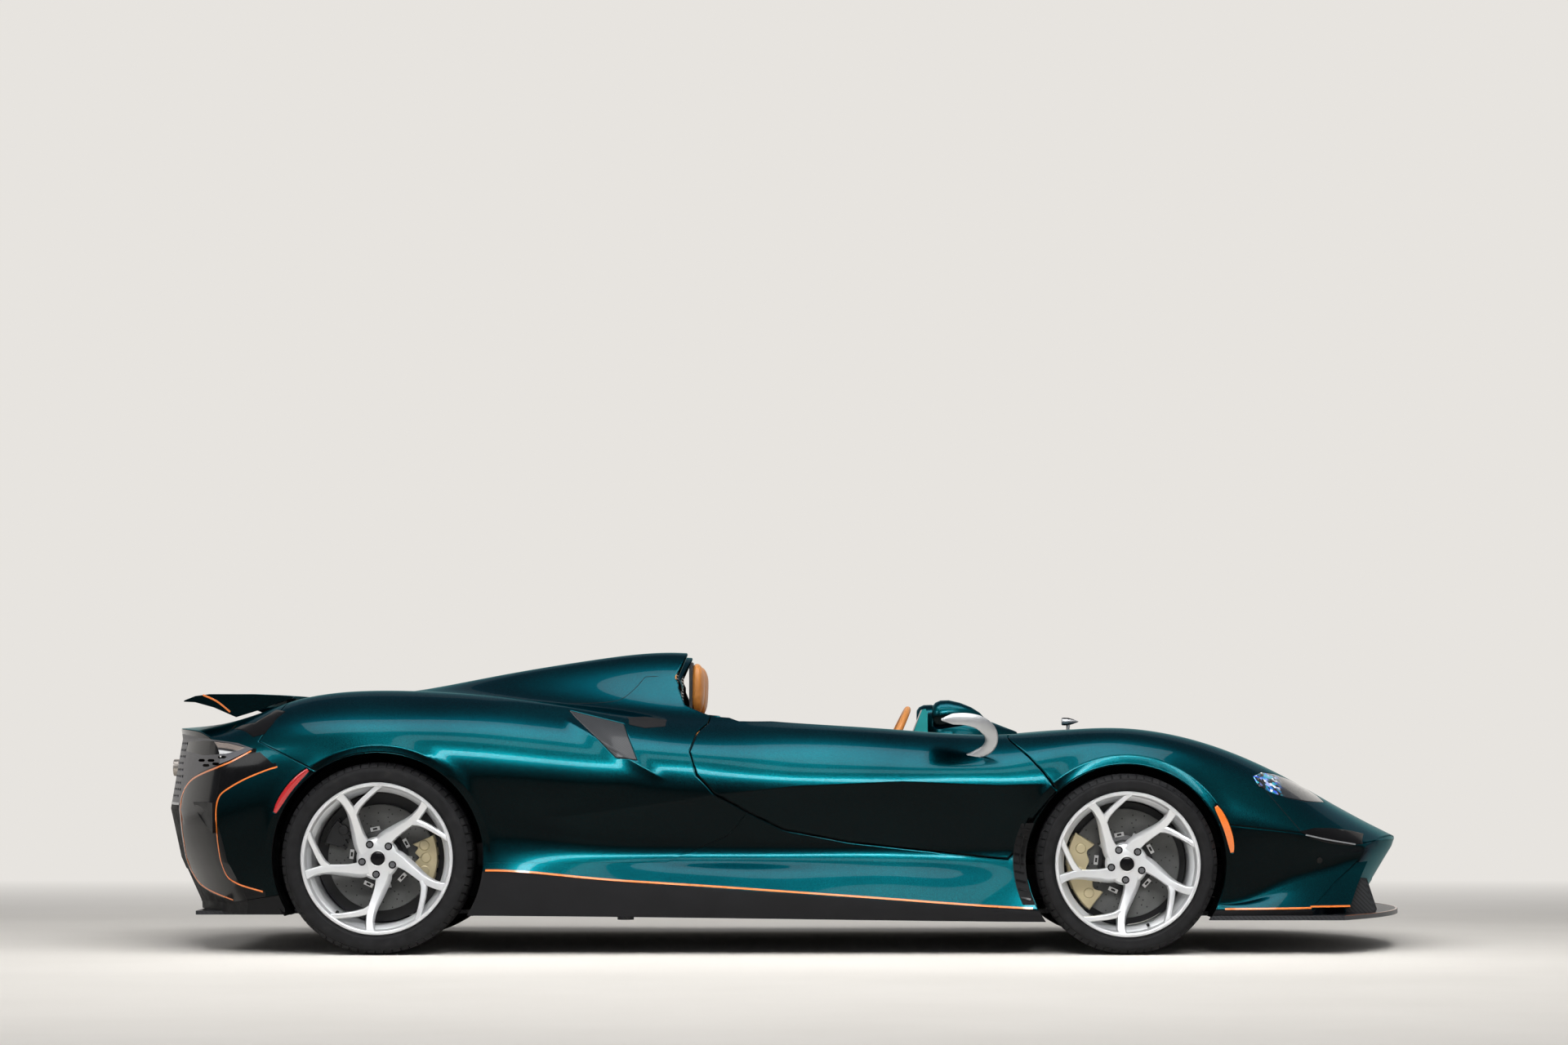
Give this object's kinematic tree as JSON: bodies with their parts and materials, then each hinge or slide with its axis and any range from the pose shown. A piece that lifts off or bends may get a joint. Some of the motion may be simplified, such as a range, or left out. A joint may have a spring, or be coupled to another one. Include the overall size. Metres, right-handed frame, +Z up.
{
  "type": "open two-seat sports car",
  "caption": "Open two-seat mid-engined supercar without windscreen: panels, dihedral doors, steered front wheels, turning wheels, tilting spoiler.",
  "frame": {"origin": "on the ground, on the centre plane, midway between nose tip and tail", "axes": "+X forward, +Y to the car's left, +Z up"},
  "size_m": [4.611, 1.9472, 1.0866],
  "materials": {
    "paint": "deep green metallic lacquer",
    "carbon": "lacquered carbon weave",
    "black_plastic": "matt",
    "lamp_clear": "clear lens",
    "lamp_red": "red lens",
    "cast_metal": "cast",
    "exhaust_metal": "satin",
    "dark_metal": "satin grey",
    "seat_leather": "soft tan leather",
    "dash_leather": "tan leather",
    "mirror_paint": "gloss",
    "upright_metal": "machined",
    "caliper_gold": "champagne anodised",
    "arm_metal": "satin black",
    "steel": "machined",
    "tyre": "rubber",
    "rim_silver": "silver lacquer",
    "disc_metal": "ground"
  },
  "bodies": {
    "root": {"front_clamshell": "paint", "front_bumper": "paint", "rear_clamshell": "paint", "rear_quarters": "paint", "side_skirts": "carbon", "front_splitter": "carbon", "underfloor": "carbon", "rear_diffuser": "carbon", "tub": "carbon", "arch_liners": "black_plastic", "front_lamps": "lamp_clear", "rear_lamps": "lamp_red", "intake_panels": "carbon", "engine_block": "cast_metal", "exhausts": "exhaust_metal", "rear_grille": "dark_metal", "seat_left": "seat_leather", "seat_right": "seat_leather", "dashboard": "dash_leather", "rear_uprights": "upright_metal", "rear_calipers": "caliper_gold", "front_wishbones": "arm_metal", "rear_wishbones": "arm_metal", "half_shafts": "steel"},
    "door_right": {"door_right": "paint", "mirror_right": "mirror_paint"},
    "door_left": {"door_left": "paint", "mirror_left": "mirror_paint"},
    "spoiler": {"rear_spoiler": "paint"},
    "steering_wheel": {"steering_wheel": "dash_leather"},
    "steer_right": {"knuckle_front_right": "upright_metal", "caliper_front_right": "caliper_gold"},
    "steer_left": {"knuckle_front_left": "upright_metal", "caliper_front_left": "caliper_gold"},
    "wheel_front_right": {"tyre_front_right": "tyre", "rim_front_right": "rim_silver", "disc_front_right": "disc_metal"},
    "wheel_front_left": {"tyre_front_left": "tyre", "rim_front_left": "rim_silver", "disc_front_left": "disc_metal"},
    "wheel_rear_right": {"tyre_rear_right": "tyre", "rim_rear_right": "rim_silver", "disc_rear_right": "disc_metal"},
    "wheel_rear_left": {"tyre_rear_left": "tyre", "rim_rear_left": "rim_silver", "disc_rear_left": "disc_metal"}
  },
  "joints": [
    {"name": "door_right_hinge", "type": "hinge", "parent": "root", "child": "door_right", "pos_m": [1, -0.808, 0.716], "axis": [-0.7049, 0.3172, 0.6344], "range_deg": [0, 60]},
    {"name": "door_left_hinge", "type": "hinge", "parent": "root", "child": "door_left", "pos_m": [1, 0.808, 0.716], "axis": [0.7049, 0.3172, -0.6344], "range_deg": [0, 60]},
    {"name": "spoiler_tilt", "type": "hinge", "parent": "root", "child": "spoiler", "pos_m": [-1.83, 0, 0.89], "axis": [0, 1, 0], "range_deg": [0, 20]},
    {"name": "steer_right", "type": "hinge", "parent": "root", "child": "steer_right", "pos_m": [1.2225, -0.7615, 0.322], "axis": [0, 0, 1], "range_deg": [-30, 30]},
    {"name": "steer_left", "type": "hinge", "parent": "root", "child": "steer_left", "pos_m": [1.2225, 0.7615, 0.322], "axis": [0, 0, 1], "range_deg": [-30, 30]},
    {"name": "wheel_front_right_spin", "type": "hinge", "parent": "steer_right", "child": "wheel_front_right", "pos_m": [1.2225, -0.8365, 0.322], "axis": [0, 1, 0], "continuous": true},
    {"name": "wheel_front_left_spin", "type": "hinge", "parent": "steer_left", "child": "wheel_front_left", "pos_m": [1.2225, 0.8365, 0.322], "axis": [0, 1, 0], "continuous": true},
    {"name": "wheel_rear_right_spin", "type": "hinge", "parent": "root", "child": "wheel_rear_right", "pos_m": [-1.4475, -0.8135, 0.342], "axis": [0, 1, 0], "continuous": true},
    {"name": "wheel_rear_left_spin", "type": "hinge", "parent": "root", "child": "wheel_rear_left", "pos_m": [-1.4475, 0.8135, 0.342], "axis": [0, 1, 0], "continuous": true},
    {"name": "steering_wheel_turn", "type": "hinge", "parent": "root", "child": "steering_wheel", "pos_m": [0.405, 0.37, 0.722], "axis": [-0.9063, 0, 0.4226], "range_deg": [-400, 400]}
  ],
  "couplings": [
    {"joint": "steer_left", "follows": "steer_right", "ratio": 1},
    {"joint": "steering_wheel_turn", "follows": "steer_right", "ratio": 13}
  ]
}
